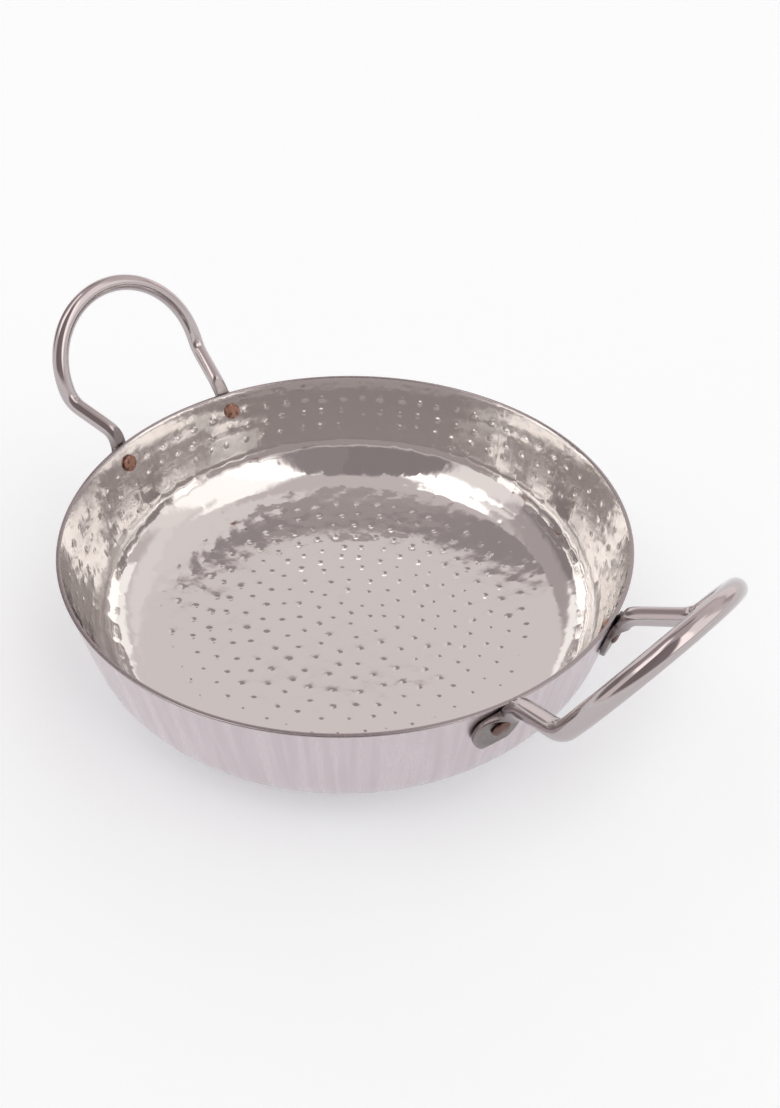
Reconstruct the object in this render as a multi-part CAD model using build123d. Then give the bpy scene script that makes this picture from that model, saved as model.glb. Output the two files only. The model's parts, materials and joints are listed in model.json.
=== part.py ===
from build123d import *
import os
from math import acos, asin, atan2, cos, hypot, pi, radians, sin, tan

# Kadai: a deep round steel bowl with two loop handles of bent rod. Both ends of
# each rod are forged flat into an ear, and one copper rivet holds each ear to
# the wall. Millimetres and degrees. The base stands on z = 0, the bowl's axis
# is Z, and the handles lie along X.

# Bowl
rim_diameter = 250
bowl_height = 64
wall_thickness = 1.8
wall_lean_angle = 8.6
corner_radius = 29
base_edge_angle = 14
base_flat_diameter = 100
rim_edge_radius = 0.5

# Handle rod, from the ear up over the rim and round the loop
rod_diameter = 7.6
rod_straight = 1.2
bend_rise = 4.5
bend_run = 4.5
neck_reach = 28
elbow_angle = 14.9
elbow_rise = 14.7
elbow_run = 4.5
loop_length = 45.5

# The two handles are bent and riveted by hand. Both sit a little to the front
# of the cross line, and one loop stands steeper than the other.
handle_turn_angle = 2.8
left_loop_tilt_angle = 72
right_loop_tilt_angle = 65.5

# Forged ears: a flat disc with a slanting cut end that lifts a little off the wall
ear_angle = 16
ear_splay_angle = 12
ear_width = 20
ear_thickness = 2.4
ear_disc_drop = 1.6
ear_disc_shift = 0.8
ear_cut_distance = 8.4
ear_cut_angle = 14
ear_corner_radius = 2.5
ear_edge_radius = 0.6
ear_end_lift = 1.2
ear_clearance = 0.05
rod_flat_depth = 0.7

# Rivets
rivet_drop = 10
shank_diameter = 4.8
shank_clearance = 0.1
inner_head_diameter = 8.4
inner_head_thickness = 1.5
inner_head_edge_radius = 0.5
outer_head_diameter = 8
outer_head_height = 1.8
outer_head_edge_radius = 1.1
head_clearance = 0.05
head_margin = 0.6

# How far the rod has widened and thinned at each share of the climb from the
# flat of the ear to the round rod. The last section is sunk in the flat disc.
shoulder_climb_shares = (0.66, 0.32, 0.0, -0.7)
shoulder_widening_shares = (0.1, 0.34, 0.62, 0.7)
shoulder_thinning_shares = (0.42, 0.82, 1.03, 1.1)

# Roundness of the cross section where the shoulder is flat: 1 is an oval, less is squarer
flat_roundness_share = 0.5
section_point_count = 16

# How far a cutting tool runs past what it cuts
cut_overrun = 5

rim_radius = rim_diameter / 2
base_flat_radius = base_flat_diameter / 2
rod_radius = rod_diameter / 2
hole_radius = shank_diameter / 2 + shank_clearance
lean = radians(wall_lean_angle)
base_edge = radians(base_edge_angle)
wall_slope = pi / 2 - lean
rivet_radius = rim_radius - rivet_drop * tan(lean)
rod_depth = ear_clearance + rod_radius - rod_flat_depth
bend_height = (rivet_drop + bend_rise) / cos(lean)
ear_top_height = bend_height - bend_run - rod_straight
ear_flat_height = outer_head_diameter / 2 + head_margin


def dish_radius():
    """Radius of the dished base that lets the corner arc meet the leaning wall at the rim."""
    across = rim_radius - base_flat_radius - corner_radius * (sin(wall_slope) - sin(base_edge))
    up = bowl_height - corner_radius * (cos(base_edge) - cos(wall_slope))
    scale = sin(base_edge) * cos(lean) - (1 - cos(base_edge)) * sin(lean)
    return (across * cos(lean) - up * sin(lean)) / scale


def side_line(inset):
    """Side line of the bowl, moved inwards by inset: flat base, dish, corner and leaning wall."""
    dish_centre = Vector(base_flat_radius, dish_radius())
    to_corner = Vector(sin(base_edge), -cos(base_edge)) * (dish_radius() - corner_radius)
    corner_centre = dish_centre + to_corner

    def on_arc(centre, radius, slope):
        return centre + Vector(sin(slope), -cos(slope)) * (radius - inset)

    start = on_arc(dish_centre, dish_radius(), 0)
    dish_middle = on_arc(dish_centre, dish_radius(), base_edge / 2)
    edge = on_arc(corner_centre, corner_radius, base_edge)
    corner_middle = on_arc(corner_centre, corner_radius, (base_edge + wall_slope) / 2)
    foot = on_arc(corner_centre, corner_radius, wall_slope)
    rim = Vector(foot.X + (bowl_height - foot.Y) * tan(lean), bowl_height)
    return [
        Line(Vector(0, start.Y), start),
        ThreePointArc(start, dish_middle, edge),
        ThreePointArc(edge, corner_middle, foot),
        Line(foot, rim),
    ]


def wall_plane(azimuth):
    """Plane that touches the wall's outside at a rivet: X round the bowl, Y up the wall, Z out."""
    turn = radians(azimuth)
    origin = Vector(rivet_radius * cos(turn), rivet_radius * sin(turn), bowl_height - rivet_drop)
    outward = Vector(cos(lean) * cos(turn), cos(lean) * sin(turn), -sin(lean))
    return Plane(origin=origin, x_dir=Vector(-sin(turn), cos(turn), 0), z_dir=outward)


def ear_plane(side):
    """Wall plane at one ear, turned so that its Y runs along the splayed leg."""
    return Plane(wall_plane(side * ear_angle) * Rot(0, 0, side * ear_splay_angle))


def make_bowl(rivet_azimuths):
    """Spun bowl with a flat rim edge and a hole for each rivet."""
    outer = side_line(0)
    inner = side_line(wall_thickness)
    rim_edge = Line(outer[-1] @ 1, inner[-1] @ 1)
    axis_edge = Line(inner[0] @ 0, outer[0] @ 0)
    profile = make_face(outer + [rim_edge] + inner + [axis_edge])
    bowl = revolve(Plane.XZ * profile, Axis.Z)
    rim_edges = bowl.edges().filter_by(GeomType.CIRCLE).group_by(Axis.Z)[-1]
    bowl = fillet(rim_edges, rim_edge_radius)
    hole = Cylinder(hole_radius, (wall_thickness + cut_overrun) * 2)
    for azimuth in rivet_azimuths:
        bowl -= wall_plane(azimuth) * hole
    return bowl


def rounded_corner(before, corner, after, run):
    """Arc that turns the rod at a corner and reaches run along both sides of it."""
    back = (before - corner).normalized()
    ahead = (after - corner).normalized()
    inward = (back + ahead).normalized()
    half_angle = radians(back.get_angle(ahead)) / 2
    radius = run * tan(half_angle)
    middle = corner + inward * (run / cos(half_angle) - radius)
    return ThreePointArc(corner + back * run, middle, corner + ahead * run)


def elbow_point(side):
    """Corner where a neck turns up into the loop."""
    turn = radians(side * elbow_angle)
    reach = rim_radius + neck_reach
    return Vector(reach * cos(turn), reach * sin(turn), bowl_height + elbow_rise)


def leg_points(side):
    """Top of the ear, bend over the rim and outer elbow of one leg."""
    plane = ear_plane(side)
    ear_top = plane.from_local_coords(Vector(0, ear_top_height, rod_depth))
    bend = plane.from_local_coords(Vector(0, bend_height, rod_depth))
    return ear_top, bend, elbow_point(side)


def loop_points(tilt_angle):
    """Start, crown and end of the round loop, whose arc leaves both elbows without a kink."""
    half_chord = elbow_point(1).Y
    foot = (elbow_point(1) + elbow_point(-1)) / 2
    across = Vector(0, 1, 0)
    upward = Vector(cos(radians(tilt_angle)), 0, sin(radians(tilt_angle)))
    radius = (half_chord ** 2 + loop_length ** 2 - elbow_run ** 2) / (2 * loop_length)
    centre_height = loop_length - radius
    elbow_distance = hypot(half_chord, centre_height)
    start_angle = atan2(-centre_height, half_chord) + acos(radius / elbow_distance)
    start_level = foot + upward * (centre_height + radius * sin(start_angle))
    to_side = across * radius * cos(start_angle)
    return start_level + to_side, foot + upward * loop_length, start_level - to_side


def rod_path(tilt_angle):
    """Centre line of the round rod, from the top of one ear to the top of the other."""
    first_ear, first_bend, first_elbow = leg_points(1)
    last_ear, last_bend, last_elbow = leg_points(-1)
    loop_start, crown, loop_end = loop_points(tilt_angle)
    first_bend_arc = rounded_corner(first_ear, first_bend, first_elbow, bend_run)
    first_elbow_arc = rounded_corner(first_bend, first_elbow, loop_start, elbow_run)
    last_elbow_arc = rounded_corner(loop_end, last_elbow, last_bend, elbow_run)
    last_bend_arc = rounded_corner(last_elbow, last_bend, last_ear, bend_run)
    return Wire(
        [
            Line(first_ear, first_bend_arc @ 0),
            first_bend_arc,
            Line(first_bend_arc @ 1, first_elbow_arc @ 0),
            first_elbow_arc,
            ThreePointArc(first_elbow_arc @ 1, crown, last_elbow_arc @ 0),
            last_elbow_arc,
            Line(last_elbow_arc @ 1, last_bend_arc @ 0),
            last_bend_arc,
            Line(last_bend_arc @ 1, last_ear),
        ]
    )


def ear_section(height, width, thickness, depth, roundness_share):
    """One cross section of the ear: an oblong between an oval and a flat strip."""
    points = []
    for index in range(section_point_count):
        turn = 2 * pi * index / section_point_count
        across = abs(cos(turn)) ** roundness_share * width / 2
        out = abs(sin(turn)) ** roundness_share * thickness / 2
        side = 1 if cos(turn) >= 0 else -1
        face = 1 if sin(turn) >= 0 else -1
        points.append(Vector(across * side, height, depth + out * face))
    return Face(Wire([Spline(points, periodic=True)]))


def make_shoulder():
    """Forged shoulder of one ear in its own plane, from the round rod down into the disc."""
    top = Plane(origin=(0, ear_top_height, rod_depth), x_dir=(1, 0, 0), z_dir=(0, 1, 0))
    sections = [(top * Circle(rod_radius)).face()]
    climb = ear_top_height - ear_flat_height
    rows = zip(shoulder_climb_shares, shoulder_widening_shares, shoulder_thinning_shares)
    for climb_share, widening, thinning in rows:
        width = rod_diameter + (ear_width - rod_diameter) * widening
        thickness = rod_diameter + (ear_thickness - rod_diameter) * thinning
        roundness_share = 1 - (1 - flat_roundness_share) * thinning
        depth = ear_clearance + thickness / 2 - rod_flat_depth * (1 - thinning)
        height = ear_flat_height + climb * climb_share
        sections.append(ear_section(height, width, thickness, depth, roundness_share))
    return loft(sections)


def bent_slab():
    """Slab as thick as the ear: flat behind the rivet, with an end that curves off the wall."""
    run = ear_disc_drop + ear_width / 2 - ear_flat_height
    bend_radius = (run ** 2 + ear_end_lift ** 2) / (2 * ear_end_lift)
    end_turn = asin((run + ear_thickness) / bend_radius)
    centre = Vector(-ear_flat_height, ear_clearance + bend_radius)

    def on_bend(radius, turn):
        return centre + Vector(-sin(turn), -cos(turn)) * radius

    top = ear_width / 2
    under = ThreePointArc(*(on_bend(bend_radius, end_turn * share) for share in (0, 1 / 2, 1)))
    upper_radius = bend_radius - ear_thickness
    over = ThreePointArc(*(on_bend(upper_radius, end_turn * share) for share in (1, 1 / 2, 0)))
    top_under = Vector(top, ear_clearance)
    top_over = Vector(top, ear_clearance + ear_thickness)
    side = make_face(
        [
            Line(top_under, under @ 0),
            under,
            Line(under @ 1, over @ 0),
            over,
            Line(over @ 1, top_over),
            Line(top_over, top_under),
        ]
    )
    return extrude(Plane.YZ * side, ear_width, both=True)


def make_disc(side):
    """Flat disc of one ear in its own plane. It lies a little outwards of the rivet."""
    centre = Pos(side * ear_disc_shift, -ear_disc_drop)
    end_cut = Rectangle(2 * ear_width, ear_width, align=(Align.CENTER, Align.MAX))
    outline = centre * Circle(ear_width / 2)
    outline -= centre * Rot(0, 0, -side * ear_cut_angle) * Pos(0, -ear_cut_distance) * end_cut
    outline = fillet(outline.vertices(), ear_corner_radius)
    disc = extrude(outline, ear_width) & bent_slab()
    outer_faces = disc.faces().filter_by(lambda face: face.normal_at().Z > cos(pi / 4))
    outer_edges = outer_faces.edges()
    rim_edges = [edge for edge in outer_edges if outer_edges.count(edge) == 1]
    return fillet(rim_edges, ear_edge_radius)


def make_handle(tilt_angle):
    """Bent rod with a forged ear at both ends, reaching out along +X."""
    path = rod_path(tilt_angle)
    start = Plane(origin=path @ 0, z_dir=path % 0)
    handle = sweep(start * Circle(rod_radius), path=path)
    print("rod volume", round(handle.volume), "section times length", round(pi * rod_radius ** 2 * path.length))
    shoulder = make_shoulder()
    die = Box(
        ear_width + 2 * cut_overrun,
        2 * (ear_top_height + cut_overrun),
        rod_diameter,
        align=(Align.CENTER, Align.CENTER, Align.MAX),
    )
    hole = Cylinder(hole_radius, 2 * (rod_diameter + cut_overrun))
    for side in (1, -1):
        handle += ear_plane(side) * shoulder
        handle -= ear_plane(side) * Pos(0, 0, ear_clearance) * die
    for side in (1, -1):
        handle += ear_plane(side) * make_disc(side)
        handle -= ear_plane(side) * hole
    return handle


def make_rivet():
    """Copper rivet through wall and ear: a flat head inside and a low domed head outside."""
    inner_radius = rivet_radius - wall_thickness / cos(lean)
    wall_curve = (inner_head_diameter / 2) ** 2 / (2 * inner_radius)
    inner_seat = -wall_thickness - wall_curve - head_clearance
    outer_seat = ear_clearance + ear_thickness + head_clearance
    above = (Align.CENTER, Align.CENTER, Align.MIN)
    below = (Align.CENTER, Align.CENTER, Align.MAX)
    shank = Pos(0, 0, inner_seat) * Cylinder(shank_diameter / 2, outer_seat - inner_seat, align=above)
    inner_head = Pos(0, 0, inner_seat) * Cylinder(inner_head_diameter / 2, inner_head_thickness, align=below)
    inner_head = fillet(inner_head.edges().group_by(Axis.Z)[0], inner_head_edge_radius)
    outer_head = Pos(0, 0, outer_seat) * Cylinder(outer_head_diameter / 2, outer_head_height, align=above)
    outer_head = fillet(outer_head.edges().group_by(Axis.Z)[-1], outer_head_edge_radius)
    return inner_head + shank + outer_head


def main():
    """Builds every piece and writes one file for each."""
    handle_azimuths = {"right": -handle_turn_angle, "left": 180 + handle_turn_angle}
    loop_tilt_angles = {"right": right_loop_tilt_angle, "left": left_loop_tilt_angle}
    toward_back = {"right": ear_angle, "left": -ear_angle}
    rivet_azimuths = {}
    for name, azimuth in handle_azimuths.items():
        rivet_azimuths[name + "_back_rivet"] = azimuth + toward_back[name]
        rivet_azimuths[name + "_front_rivet"] = azimuth - toward_back[name]
    pieces = {"bowl": make_bowl(rivet_azimuths.values())}
    for name, azimuth in handle_azimuths.items():
        pieces[name + "_handle"] = Rot(0, 0, azimuth) * make_handle(loop_tilt_angles[name])
    rivet = make_rivet()
    for name, azimuth in rivet_azimuths.items():
        pieces[name] = wall_plane(azimuth) * rivet
    os.makedirs("parts", exist_ok=True)
    for name, piece in pieces.items():
        export_step(piece, "parts/" + name + ".step")


main()
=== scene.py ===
# %% [markdown]
# # A hammered steel kadai
# A kadai is a deep round pan with two loop handles. This lesson dresses one that is already measured:
# the frame holds every piece at its real size, and each cell gives one piece or one finish its looks.
# We load the frame first, and can read the box of any piece from it.

# %% Load the measured pieces
import json
from math import atan2, cos, hypot, pi, radians, sin, sqrt, tan

import bmesh
import bpy
from mathutils import Matrix, Quaternion, Vector, noise
from mathutils.geometry import delaunay_2d_cdt
from random import Random

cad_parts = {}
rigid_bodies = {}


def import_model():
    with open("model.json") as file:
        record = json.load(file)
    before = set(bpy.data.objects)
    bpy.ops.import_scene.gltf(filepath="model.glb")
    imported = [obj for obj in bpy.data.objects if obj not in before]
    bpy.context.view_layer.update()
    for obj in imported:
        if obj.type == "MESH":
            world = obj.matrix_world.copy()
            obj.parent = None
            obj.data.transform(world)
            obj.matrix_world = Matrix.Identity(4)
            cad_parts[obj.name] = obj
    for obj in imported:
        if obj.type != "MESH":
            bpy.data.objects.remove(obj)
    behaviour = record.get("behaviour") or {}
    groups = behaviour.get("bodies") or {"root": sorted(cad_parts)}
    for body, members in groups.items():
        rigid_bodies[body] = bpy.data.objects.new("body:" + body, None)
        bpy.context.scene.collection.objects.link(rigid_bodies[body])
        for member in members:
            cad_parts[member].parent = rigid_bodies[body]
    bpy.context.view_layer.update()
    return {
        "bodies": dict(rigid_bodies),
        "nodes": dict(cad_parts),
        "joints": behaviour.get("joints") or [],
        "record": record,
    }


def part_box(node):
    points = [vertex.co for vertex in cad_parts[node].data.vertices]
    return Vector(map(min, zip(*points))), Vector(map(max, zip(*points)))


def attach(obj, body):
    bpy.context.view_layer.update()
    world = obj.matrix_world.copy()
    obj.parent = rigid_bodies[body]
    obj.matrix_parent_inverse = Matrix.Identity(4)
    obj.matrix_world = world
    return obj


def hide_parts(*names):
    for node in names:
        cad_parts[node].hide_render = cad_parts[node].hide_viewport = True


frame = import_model()
mm = 0.001
print("pieces:", sorted(frame["nodes"]))

# %% [markdown]
# ## Two small helpers
# An operator acts on all that is selected, so each step starts by clearing the selection. The second
# helper hands a finished piece to the frame: it rides on the one body and stands in for the plain solid of
# the same name. The piece already carries its finish in a material slot.


# %% Helpers for picking and handing over
def pick_only(piece):
    """Makes one object the only one selected, and the active one."""
    if bpy.context.object and bpy.context.object.mode == "EDIT":
        bpy.ops.object.mode_set(mode="OBJECT")
    bpy.ops.object.select_all(action="DESELECT")
    piece.select_set(True)
    bpy.context.view_layer.objects.active = piece


def hand_over(piece, node):
    """Puts a finished piece in the place of a plain solid."""
    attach(piece, "root")
    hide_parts(node)
    piece.data.calc_loop_triangles()
    print(piece.name, "stands for", node, "with", len(piece.data.loop_triangles), "triangles")


# %% [markdown]
# ## The camera
# The photograph was taken from about 37 degrees above the rim, close to the pan, so the near side looks
# large. The camera's distance and turn were worked out from the ellipse of the rim. We place it on a
# sphere round the rim's centre, aim it at a point on the rim's plane, and roll it a little.

# %% Place the camera
bowl_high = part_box("bowl")[1]
rim_centre = Vector((0, 0, bowl_high.z))
camera_distance = 400 * mm
camera_azimuth = radians(-43.7)
camera_elevation = radians(37.32)
camera_roll = radians(1.17)
camera_lens = 29.15
aim_from_rim_centre = Vector((32.8, -7.6, 0)) * mm

outward = Vector((cos(camera_azimuth), sin(camera_azimuth), 0)) * cos(camera_elevation)
camera_data = bpy.data.cameras.new("camera")
camera_data.lens = camera_lens
camera = bpy.data.objects.new("camera", camera_data)
bpy.context.scene.collection.objects.link(camera)
camera.location = rim_centre + (outward + Vector((0, 0, sin(camera_elevation)))) * camera_distance
look = rim_centre + aim_from_rim_centre - camera.location
camera.rotation_mode = "QUATERNION"
camera.rotation_quaternion = look.to_track_quat("-Z", "Y") @ Quaternion((0, 0, 1), camera_roll)
bpy.context.scene.camera = camera
print("camera", [round(value / mm) for value in camera.location], "mm")

# %% [markdown]
# ## Finishes made of nodes
# Metal has no colour of its own apart from the tint of its reflection, so each finish here is a metallic
# shader with a tint, a roughness, and small bumps that blur or streak the reflection. This helper starts
# such a metal. It also gives the place on the piece in Object coordinates, for patterns to read.


# %% Start a metal
def new_metal(name, colour, roughness):
    """A metal with one tint, and the parts that its other nodes are built on."""
    material = bpy.data.materials.new(name)
    material.use_nodes = True
    tree = material.node_tree
    shader = tree.nodes["Principled BSDF"]
    shader.inputs["Base Color"].default_value = (*colour, 1)
    shader.inputs["Metallic"].default_value = 1
    shader.inputs["Roughness"].default_value = roughness
    place = tree.nodes.new("ShaderNodeTexCoord").outputs["Object"]
    return material, tree, shader, place


# %% [markdown]
# A pattern is a chain of small sums. The first helper sets an input to a number, or links it to another
# node's output. The other two add one node each, so that a chain of nodes reads like a few lines of sums.


# %% Calculate with nodes
def feed(tree, socket, value):
    """Sets a socket to a value, or links it if the value is a socket itself."""
    if isinstance(value, bpy.types.NodeSocket):
        tree.links.new(value, socket)
    else:
        socket.default_value = value


def calculate(tree, operation, *values):
    """One Math node."""
    node = tree.nodes.new("ShaderNodeMath")
    node.operation = operation
    for socket, value in zip(node.inputs, values):
        feed(tree, socket, value)
    return node.outputs["Value"]


def calculate_place(tree, operation, *values):
    """One Vector Math node."""
    node = tree.nodes.new("ShaderNodeVectorMath")
    node.operation = operation
    for socket, value in zip(node.inputs, values):
        feed(tree, socket, value)
    return node.outputs["Vector"]


# %% [markdown]
# Nothing that is made by hand is even. Noise gives the unevenness, a smooth ramp brings it into the
# wanted range, and then it drives a roughness, a tint or the height of bumps.


# %% Noise, ramps, bumps and tints
def noise_value(tree, place, grain, detail=2.0):
    """Noise whose blobs are about one grain wide, in metres."""
    node = tree.nodes.new("ShaderNodeTexNoise")
    node.inputs["Scale"].default_value = 1 / grain
    node.inputs["Detail"].default_value = detail
    tree.links.new(place, node.inputs["Vector"])
    return node.outputs["Fac"]


def between(tree, value, low, high, start, end):
    """Turns a value from low to high into one from start to end, with a smooth ramp."""
    node = tree.nodes.new("ShaderNodeMapRange")
    node.interpolation_type = "SMOOTHSTEP"
    for name, number in zip(("From Min", "From Max", "To Min", "To Max"), (low, high, start, end)):
        node.inputs[name].default_value = number
    tree.links.new(value, node.inputs["Value"])
    return node.outputs["Result"]


def bump(tree, shader, height, depth):
    """Bumps of this depth in metres, added under any that the shader already has."""
    node = tree.nodes.new("ShaderNodeBump")
    node.inputs["Distance"].default_value = depth
    tree.links.new(height, node.inputs["Height"])
    if shader.inputs["Normal"].is_linked:
        tree.links.new(shader.inputs["Normal"].links[0].from_socket, node.inputs["Normal"])
    tree.links.new(node.outputs["Normal"], shader.inputs["Normal"])


def tint_by(tree, shader, share, first, second):
    """Mixes two tints by a share and gives the result to the shader."""
    mix = tree.nodes.new("ShaderNodeMix")
    mix.data_type = "RGBA"
    mix.inputs["A"].default_value = (*first, 1)
    mix.inputs["B"].default_value = (*second, 1)
    tree.links.new(share, mix.inputs["Factor"])
    tree.links.new(mix.outputs["Result"], shader.inputs["Base Color"])


# %% [markdown]
# The wall has streaks that run up and down it. A noise that is stretched along Z would smear on the
# floor of the bowl, so we first push each point out to the same distance from the axis: then only the
# direction and the height are left, and the streaks follow the wall all the way round without a seam.


# %% Helper for streaks that run up the wall
streak_radius = 125 * mm


def wall_place(tree, place, radius, stretch):
    """Where a point is round the bowl, with its height divided by stretch."""
    flat = calculate_place(tree, "MULTIPLY", place, (1, 1, 0))
    direction = calculate_place(tree, "NORMALIZE", flat)
    around = calculate_place(tree, "MULTIPLY", direction, (radius, radius, 0))
    height = calculate_place(tree, "MULTIPLY", place, (0, 0, 1 / stretch))
    return calculate_place(tree, "ADD", around, height)


# %% [markdown]
# ## Polished steel for the inside
# The inside is polished almost to a mirror. Its roughness wanders a little, as polishing is never even,
# and shallow bumps all over make the edges of reflections wander too. The wall alone carries fine upright
# ripples, which draw the lights out into shimmering streaks. They fade in where the corner turns into it.

# %% Mix the polished steel
polished_steel, tree, shader, place = new_metal("polished_steel", (0.75, 0.735, 0.722), 0.07)
cloud = noise_value(tree, place, 14 * mm, 3)
tree.links.new(between(tree, cloud, 0.35, 0.7, 0.05, 0.1), shader.inputs["Roughness"])
upright = wall_place(tree, place, streak_radius, 9)
ripple = noise_value(tree, upright, 1.9 * mm, 2.5)
split = tree.nodes.new("ShaderNodeSeparateXYZ")
tree.links.new(place, split.inputs["Vector"])
ripple_start = 22 * mm
ripple_full = 34 * mm
on_wall = between(tree, split.outputs["Z"], ripple_start, ripple_full, 0, 1)
bump(tree, shader, calculate(tree, "MULTIPLY", ripple, on_wall), 0.022 * mm)
bump(tree, shader, noise_value(tree, place, 4.5 * mm, 1), 0.05 * mm)
print(polished_steel.name, "has", len(tree.nodes), "nodes")

# %% [markdown]
# ## Brushed steel for the outside
# The outside is only brushed, so it shows a soft, even grey. One stretched noise makes the upright
# streaks: it changes the tint, the roughness and a very low bump together, as a real brush mark does. A
# second, broad and slow bump shows that the sheet was worked by hand.

# %% Mix the brushed steel
brushed_steel, tree, shader, place = new_metal("brushed_steel", (0.64, 0.575, 0.6), 0.3)
upright = wall_place(tree, place, streak_radius, 16)
brush_lines = noise_value(tree, upright, 4 * mm, 3)
streak_share = between(tree, brush_lines, 0.35, 0.7, 0, 1)
tint_by(tree, shader, streak_share, (0.65, 0.585, 0.61), (0.605, 0.54, 0.565))
tree.links.new(between(tree, brush_lines, 0.3, 0.7, 0.26, 0.34), shader.inputs["Roughness"])
bump(tree, shader, brush_lines, 0.002 * mm)
bump(tree, shader, noise_value(tree, place, 22 * mm, 1), 0.1 * mm)
print(brushed_steel.name, "has", len(tree.nodes), "nodes")

# %% [markdown]
# ## The cut edge
# The narrow edge on top of the rim is given a darker tint than the faces. It gets a metal of its own, with
# small rough and smooth spots.

# %% Mix the steel of the cut edge
cut_edge, tree, shader, place = new_metal("cut_edge", (0.40, 0.36, 0.37), 0.22)
cloud = noise_value(tree, place, 2 * mm, 3)
tree.links.new(between(tree, cloud, 0.3, 0.7, 0.16, 0.3), shader.inputs["Roughness"])
print(cut_edge.name, "has", len(tree.nodes), "nodes")

# %% [markdown]
# ## Steel of the rods
# The rods are drawn and then tumbled smooth, so their shine is a little softer than the bowl's. Where
# the ears were forged the steel is darker and duller. A texture would have to be painted for each ear,
# so the mesh itself says how far: each handle will carry an attribute called forged, from 0 to 1.

# %% Mix the rod steel
rod_steel, tree, shader, place = new_metal("rod_steel", (0.5, 0.455, 0.458), 0.1)
forged = tree.nodes.new("ShaderNodeAttribute")
forged.attribute_name = "forged"
cloud = noise_value(tree, place, 3 * mm, 4)
tint_by(tree, shader, forged.outputs["Fac"], (0.5, 0.455, 0.458), (0.22, 0.195, 0.19))
smooth_part = between(tree, cloud, 0.3, 0.75, 0.05, 0.14)
dull_part = calculate(tree, "MULTIPLY", forged.outputs["Fac"], 0.2)
tree.links.new(calculate(tree, "ADD", smooth_part, dull_part), shader.inputs["Roughness"])
scale_marks = calculate(tree, "MULTIPLY", cloud, forged.outputs["Fac"])
bump(tree, shader, scale_marks, 0.05 * mm)
bump(tree, shader, noise_value(tree, place, 2.2 * mm, 3), 0.006 * mm)
print(rod_steel.name, "has", len(tree.nodes), "nodes")

# %% [markdown]
# ## Copper of the rivets
# The rivets are copper that has gone brown with handling, in spots that a noise picks. The heads outside
# were never polished and are darker. They lie further from the bowl's axis than the heads inside, so the
# distance from the axis tells the two apart.

# %% Mix the copper
head_inside = 122 * mm
head_outside = 124 * mm
rivet_copper, tree, shader, place = new_metal("rivet_copper", (0.5, 0.27, 0.19), 0.42)
cloud = noise_value(tree, place, 2.4 * mm, 4)
flat = calculate_place(tree, "MULTIPLY", place, (1, 1, 0))
distance = tree.nodes.new("ShaderNodeVectorMath")
distance.operation = "LENGTH"
tree.links.new(flat, distance.inputs["Vector"])
is_outside = between(tree, distance.outputs["Value"], head_inside, head_outside, 0, 1)
tarnish = calculate(tree, "MAXIMUM", between(tree, cloud, 0.45, 0.68, 0, 1), is_outside)
tint_by(tree, shader, tarnish, (0.46, 0.265, 0.2), (0.17, 0.105, 0.09))
tree.links.new(between(tree, cloud, 0.3, 0.7, 0.32, 0.5), shader.inputs["Roughness"])
bump(tree, shader, noise_value(tree, place, 0.9 * mm, 3), 0.02 * mm)
print(rivet_copper.name, "has", len(tree.nodes), "nodes")

# %% [markdown]
# ## The side line of the bowl
# The bowl is one sheet, spun over a former. Its side line is four tangent pieces: a flat middle, a shallow
# dish, a tight corner and a straight leaning wall. Only a few measures are given. The dish's radius and
# the middle of the corner follow from them, because the pieces have to meet without a kink.

# %% Measures of the side line
rim_radius = 125 * mm
bowl_height = 64 * mm
wall_thickness = 1.8 * mm
wall_lean = radians(8.6)
corner_radius = 29 * mm
base_edge = radians(14)
flat_radius = 50 * mm
rim_rounding = 0.5 * mm

wall_slope = pi / 2 - wall_lean
across = rim_radius - flat_radius - corner_radius * (sin(wall_slope) - sin(base_edge))
upward = bowl_height - corner_radius * (cos(base_edge) - cos(wall_slope))
slant = sin(base_edge) * cos(wall_lean) - (1 - cos(base_edge)) * sin(wall_lean)
dish_radius = (across * cos(wall_lean) - upward * sin(wall_lean)) / slant
corner_centre = (flat_radius + (dish_radius - corner_radius) * sin(base_edge),
                 dish_radius - (dish_radius - corner_radius) * cos(base_edge))
wall_foot_height = corner_centre[1] - corner_radius * cos(wall_slope)
print("dish radius", round(dish_radius / mm, 1), "mm, wall foot at", round(wall_foot_height / mm, 1), "mm")

# %% [markdown]
# One function walks along that line. It takes the distance walked from the middle and gives back the
# radius, the height and the slope there. The inside line is the outside line moved inwards by the wall's
# thickness, which only makes its two arcs tighter, so the same function serves for both faces.


# %% Walk along the side line
def side_lengths(inset):
    """How long each of the four pieces of the side line is."""
    foot_height = wall_foot_height + inset * sin(wall_lean)
    return (flat_radius, (dish_radius - inset) * base_edge,
            (corner_radius - inset) * (wall_slope - base_edge),
            (bowl_height - foot_height) / cos(wall_lean))


def side_point(walked, inset=0.0):
    """Radius, height and slope of the side line after walking this far from the middle."""
    flat, dish, corner, _ = side_lengths(inset)
    if walked <= flat:
        return walked, inset, 0.0
    if walked <= flat + dish:
        slope = (walked - flat) / (dish_radius - inset)
        radius = dish_radius - inset
        return flat_radius + radius * sin(slope), dish_radius - radius * cos(slope), slope
    radius = corner_radius - inset
    slope = min(base_edge + (walked - flat - dish) / radius, wall_slope)
    past = max(0.0, walked - flat - dish - corner)
    return (corner_centre[0] + radius * sin(slope) + past * sin(wall_lean),
            corner_centre[1] - radius * cos(slope) + past * cos(wall_lean), slope)


inside_length = sum(side_lengths(wall_thickness)) - rim_rounding
print("side line inside:", [round(length / mm, 1) for length in side_lengths(wall_thickness)], "mm")

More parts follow.
